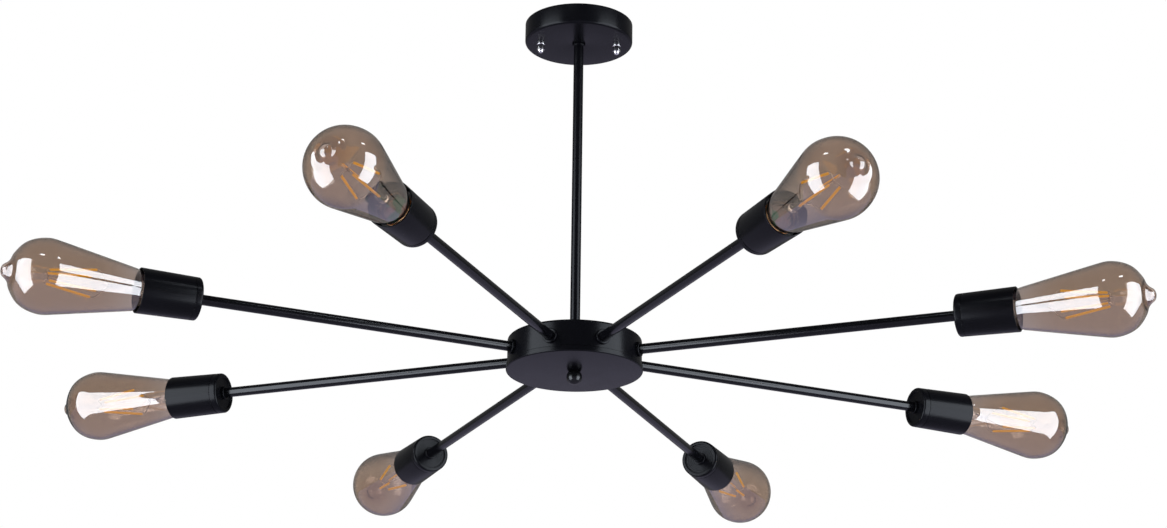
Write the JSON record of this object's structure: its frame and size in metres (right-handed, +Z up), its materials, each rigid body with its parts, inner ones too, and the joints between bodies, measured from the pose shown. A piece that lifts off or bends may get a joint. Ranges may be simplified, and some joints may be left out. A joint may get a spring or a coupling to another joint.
{
  "type": "rod-hung ceiling light",
  "caption": "Ceiling light: a round canopy and down rod carry a drum hub whose level arms end in socket cups with teardrop screw-base bulbs that unscrew.",
  "frame": {"origin": "centre of the canopy's rim and mounting plate, in the plane of the ceiling", "axes": "+Z up into the ceiling; the canopy's studs lie along X and the box slots along Y"},
  "size_m": [0.9566, 0.9566, 0.3535],
  "materials": {
    "black_satin": "satin black powder coat",
    "black_gloss": "gloss black paint",
    "nickel": "bright nickel plate",
    "zinc_plated_steel": "zinc plated",
    "green_screw": "green anodised look",
    "holder_plastic": "moulded phenolic",
    "shell_brass": "copper-coloured brass",
    "cap_brass": "plain brass",
    "contact_insulator": "black glassy insulator with a solder button",
    "amber_glass": "clear glass with a smoky amber tint",
    "light_stick": "amber phosphor on a glass stem",
    "wire_insulation": "PVC insulated wire",
    "connector_plastic": "moulded connectors and crimp sleeves"
  },
  "bodies": {
    "fixture": {"mounting_plate": "zinc_plated_steel", "ground_screw": "green_screw", "canopy_studs": "zinc_plated_steel", "canopy": "black_satin", "canopy_cap_nuts": "nickel", "down_rod": "black_satin", "rod_collars": "black_satin", "rod_nuts": "zinc_plated_steel", "hub_housing": "black_satin", "hub_cover": "black_satin", "hub_stirrup": "zinc_plated_steel", "finial": "black_gloss", "arm_tubes": "black_satin", "arm_rings": "black_satin", "arm_nuts": "zinc_plated_steel", "lamp_holders": "holder_plastic", "screw_shells": "shell_brass", "socket_contacts": "shell_brass", "lamp_wires": "wire_insulation", "wire_connectors": "connector_plastic", "socket_cup_1": "black_satin", "socket_cup_2": "black_satin", "socket_cup_3": "black_satin", "socket_cup_4": "black_satin", "socket_cup_5": "black_satin", "socket_cup_6": "black_satin", "socket_cup_7": "black_satin", "socket_cup_8": "black_satin"},
    "bulb_foot_1": {"bulb_contact_1": "contact_insulator"},
    "bulb_1": {"bulb_cap_1": "cap_brass", "bulb_glass_1": "amber_glass", "bulb_filament_1": "light_stick"},
    "bulb_foot_2": {"bulb_contact_2": "contact_insulator"},
    "bulb_2": {"bulb_cap_2": "cap_brass", "bulb_glass_2": "amber_glass", "bulb_filament_2": "light_stick"},
    "bulb_foot_3": {"bulb_contact_3": "contact_insulator"},
    "bulb_3": {"bulb_cap_3": "cap_brass", "bulb_glass_3": "amber_glass", "bulb_filament_3": "light_stick"},
    "bulb_foot_4": {"bulb_contact_4": "contact_insulator"},
    "bulb_4": {"bulb_cap_4": "cap_brass", "bulb_glass_4": "amber_glass", "bulb_filament_4": "light_stick"},
    "bulb_foot_5": {"bulb_contact_5": "contact_insulator"},
    "bulb_5": {"bulb_cap_5": "cap_brass", "bulb_glass_5": "amber_glass", "bulb_filament_5": "light_stick"},
    "bulb_foot_6": {"bulb_contact_6": "contact_insulator"},
    "bulb_6": {"bulb_cap_6": "cap_brass", "bulb_glass_6": "amber_glass", "bulb_filament_6": "light_stick"},
    "bulb_foot_7": {"bulb_contact_7": "contact_insulator"},
    "bulb_7": {"bulb_cap_7": "cap_brass", "bulb_glass_7": "amber_glass", "bulb_filament_7": "light_stick"},
    "bulb_foot_8": {"bulb_contact_8": "contact_insulator"},
    "bulb_8": {"bulb_cap_8": "cap_brass", "bulb_glass_8": "amber_glass", "bulb_filament_8": "light_stick"}
  },
  "joints": [
    {"name": "bulb_1_travel", "type": "slide", "parent": "fixture", "child": "bulb_foot_1", "axis": [0.9239, 0.3827, 0], "range_m": [0, 0.0109]},
    {"name": "bulb_1_unscrew", "type": "hinge", "parent": "bulb_foot_1", "child": "bulb_1", "pos_m": [0, 0, -0.3215], "axis": [0.9239, 0.3827, 0], "range_deg": [0, 1080]},
    {"name": "bulb_2_travel", "type": "slide", "parent": "fixture", "child": "bulb_foot_2", "axis": [0.3827, 0.9239, 0], "range_m": [0, 0.0109]},
    {"name": "bulb_2_unscrew", "type": "hinge", "parent": "bulb_foot_2", "child": "bulb_2", "pos_m": [0, 0, -0.3215], "axis": [0.3827, 0.9239, 0], "range_deg": [0, 1080]},
    {"name": "bulb_3_travel", "type": "slide", "parent": "fixture", "child": "bulb_foot_3", "axis": [-0.3827, 0.9239, 0], "range_m": [0, 0.0109]},
    {"name": "bulb_3_unscrew", "type": "hinge", "parent": "bulb_foot_3", "child": "bulb_3", "pos_m": [0, 0, -0.3215], "axis": [-0.3827, 0.9239, 0], "range_deg": [0, 1080]},
    {"name": "bulb_4_travel", "type": "slide", "parent": "fixture", "child": "bulb_foot_4", "axis": [-0.9239, 0.3827, 0], "range_m": [0, 0.0109]},
    {"name": "bulb_4_unscrew", "type": "hinge", "parent": "bulb_foot_4", "child": "bulb_4", "pos_m": [0, 0, -0.3215], "axis": [-0.9239, 0.3827, 0], "range_deg": [0, 1080]},
    {"name": "bulb_5_travel", "type": "slide", "parent": "fixture", "child": "bulb_foot_5", "axis": [-0.9239, -0.3827, 0], "range_m": [0, 0.0109]},
    {"name": "bulb_5_unscrew", "type": "hinge", "parent": "bulb_foot_5", "child": "bulb_5", "pos_m": [0, 0, -0.3215], "axis": [-0.9239, -0.3827, 0], "range_deg": [0, 1080]},
    {"name": "bulb_6_travel", "type": "slide", "parent": "fixture", "child": "bulb_foot_6", "axis": [-0.3827, -0.9239, 0], "range_m": [0, 0.0109]},
    {"name": "bulb_6_unscrew", "type": "hinge", "parent": "bulb_foot_6", "child": "bulb_6", "pos_m": [0, 0, -0.3215], "axis": [-0.3827, -0.9239, 0], "range_deg": [0, 1080]},
    {"name": "bulb_7_travel", "type": "slide", "parent": "fixture", "child": "bulb_foot_7", "axis": [0.3827, -0.9239, 0], "range_m": [0, 0.0109]},
    {"name": "bulb_7_unscrew", "type": "hinge", "parent": "bulb_foot_7", "child": "bulb_7", "pos_m": [0, 0, -0.3215], "axis": [0.3827, -0.9239, 0], "range_deg": [0, 1080]},
    {"name": "bulb_8_travel", "type": "slide", "parent": "fixture", "child": "bulb_foot_8", "axis": [0.9239, -0.3827, 0], "range_m": [0, 0.0109]},
    {"name": "bulb_8_unscrew", "type": "hinge", "parent": "bulb_foot_8", "child": "bulb_8", "pos_m": [0, 0, -0.3215], "axis": [0.9239, -0.3827, 0], "range_deg": [0, 1080]}
  ],
  "couplings": [
    {"joint": "bulb_1_travel", "follows": "bulb_1_unscrew", "m_per_rad": 0.00057757},
    {"joint": "bulb_2_travel", "follows": "bulb_2_unscrew", "m_per_rad": 0.00057757},
    {"joint": "bulb_3_travel", "follows": "bulb_3_unscrew", "m_per_rad": 0.00057757},
    {"joint": "bulb_4_travel", "follows": "bulb_4_unscrew", "m_per_rad": 0.00057757},
    {"joint": "bulb_5_travel", "follows": "bulb_5_unscrew", "m_per_rad": 0.00057757},
    {"joint": "bulb_6_travel", "follows": "bulb_6_unscrew", "m_per_rad": 0.00057757},
    {"joint": "bulb_7_travel", "follows": "bulb_7_unscrew", "m_per_rad": 0.00057757},
    {"joint": "bulb_8_travel", "follows": "bulb_8_unscrew", "m_per_rad": 0.00057757}
  ]
}
